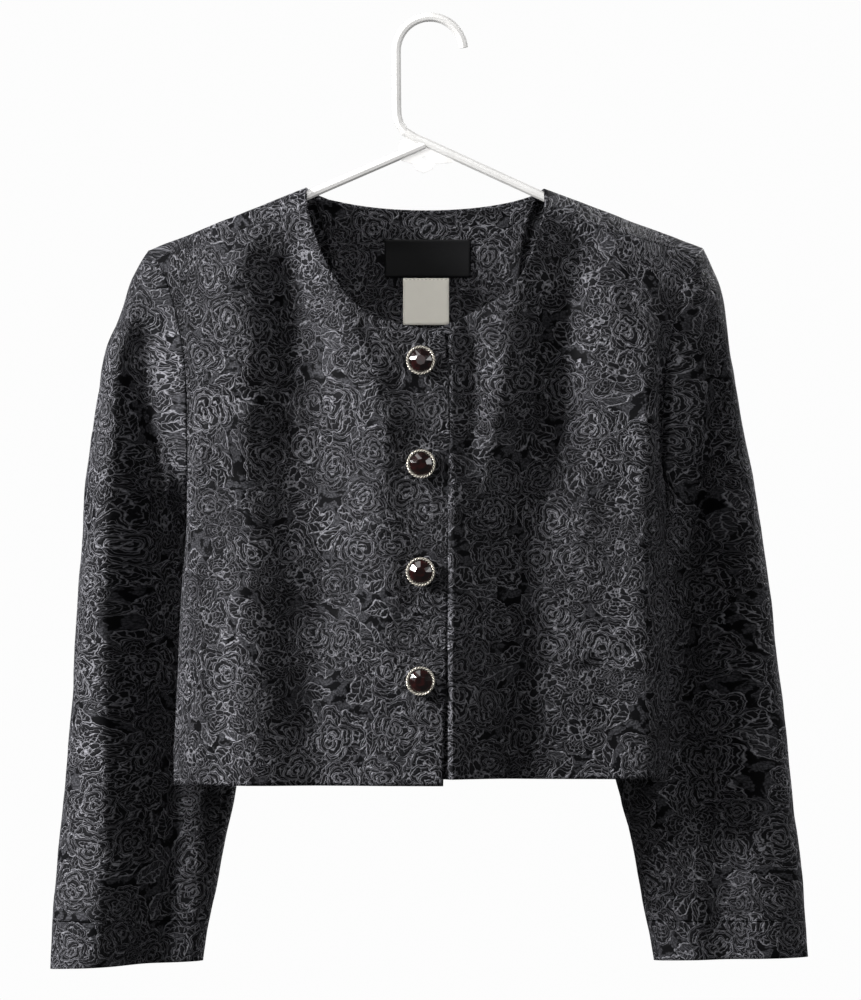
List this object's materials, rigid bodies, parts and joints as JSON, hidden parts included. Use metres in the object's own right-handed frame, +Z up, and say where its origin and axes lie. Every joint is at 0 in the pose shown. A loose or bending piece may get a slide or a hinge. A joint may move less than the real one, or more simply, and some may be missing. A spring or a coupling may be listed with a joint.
{
  "type": "evening jacket on a hanger",
  "caption": "Cropped collarless evening jacket in dark floral jacquard with jewelled front buttons, hung on a white moulded tubular hanger.",
  "frame": {"origin": "the inside top of the hanger's hook, where a rail or wall hook holds it", "axes": "+Z up, +X to the right as the jacket is seen from the front, +Y from the front to the back"},
  "size_m": [0.6242, 0.1267, 0.7877],
  "materials": {
    "cloth": "black and charcoal jacquard with a soft sheen",
    "label_black": "woven satin ribbon, bare",
    "label_cream": "matt woven tape, bare",
    "rim_metal": "pale gilt, roped edge",
    "stone": "polished facets, very dark garnet",
    "plastic": "smooth white moulded plastic"
  },
  "bodies": {
    "root": {"back": "cloth", "front_right": "cloth", "front_left": "cloth", "sleeve_right": "cloth", "sleeve_left": "cloth", "neck_facing": "cloth", "brand_label": "label_black", "care_label": "label_cream", "button_1_rim": "rim_metal", "button_1_stone": "stone", "button_2_rim": "rim_metal", "button_2_stone": "stone", "button_3_rim": "rim_metal", "button_3_stone": "stone", "button_4_rim": "rim_metal", "button_4_stone": "stone", "hanger": "plastic"}
  },
  "joints": []
}
